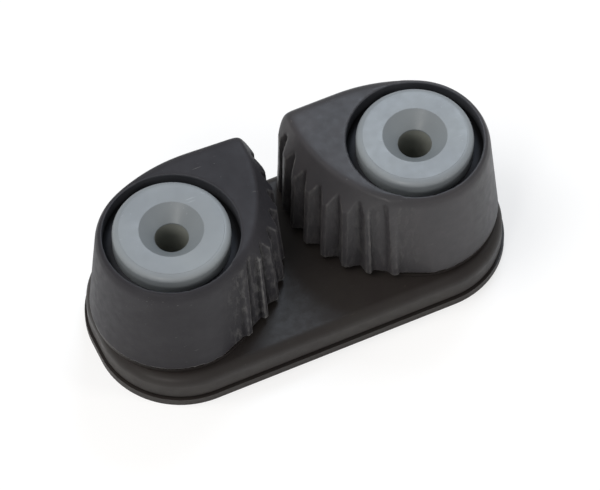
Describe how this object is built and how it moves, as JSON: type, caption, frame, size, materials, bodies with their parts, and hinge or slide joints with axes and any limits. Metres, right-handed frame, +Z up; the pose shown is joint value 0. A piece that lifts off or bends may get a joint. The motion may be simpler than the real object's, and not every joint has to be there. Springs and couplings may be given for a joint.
{
  "type": "cam cleat",
  "caption": "Rope cleat: sprung toothed cams turn on a low base and jam a rope between their jaws; screws pass down through the pivot posts.",
  "frame": {"origin": "midway between the fixing holes, on the underside", "axes": "+X along the line of the fixing holes, +Y towards the side where the jaws nearly meet, where the rope's free end leaves, +Z up out of the deck"},
  "size_m": [0.063, 0.0288, 0.0244],
  "materials": {
    "body": "matte moulded",
    "cam": "matte moulded",
    "cap": "satin moulded",
    "spring": "drawn wire"
  },
  "bodies": {
    "base": {"base": "body", "sole_plate": "body", "left_cap": "cap", "right_cap": "cap", "left_spring": "spring", "right_spring": "spring"},
    "left_cam": {"left_cam": "cam"},
    "right_cam": {"right_cam": "cam"}
  },
  "joints": [
    {"name": "left_cam_pivot", "type": "hinge", "parent": "base", "child": "left_cam", "pos_m": [-0.019, 0, 0], "axis": [0, 0, 1], "range_deg": [0, 55], "stiffness_Nm_per_rad": 0.02, "springref_deg": -57.3, "deforming": ["left_spring"]},
    {"name": "right_cam_pivot", "type": "hinge", "parent": "base", "child": "right_cam", "pos_m": [0.019, 0, 0], "axis": [0, 0, -1], "range_deg": [0, 55], "stiffness_Nm_per_rad": 0.02, "springref_deg": -57.3, "deforming": ["right_spring"]}
  ]
}
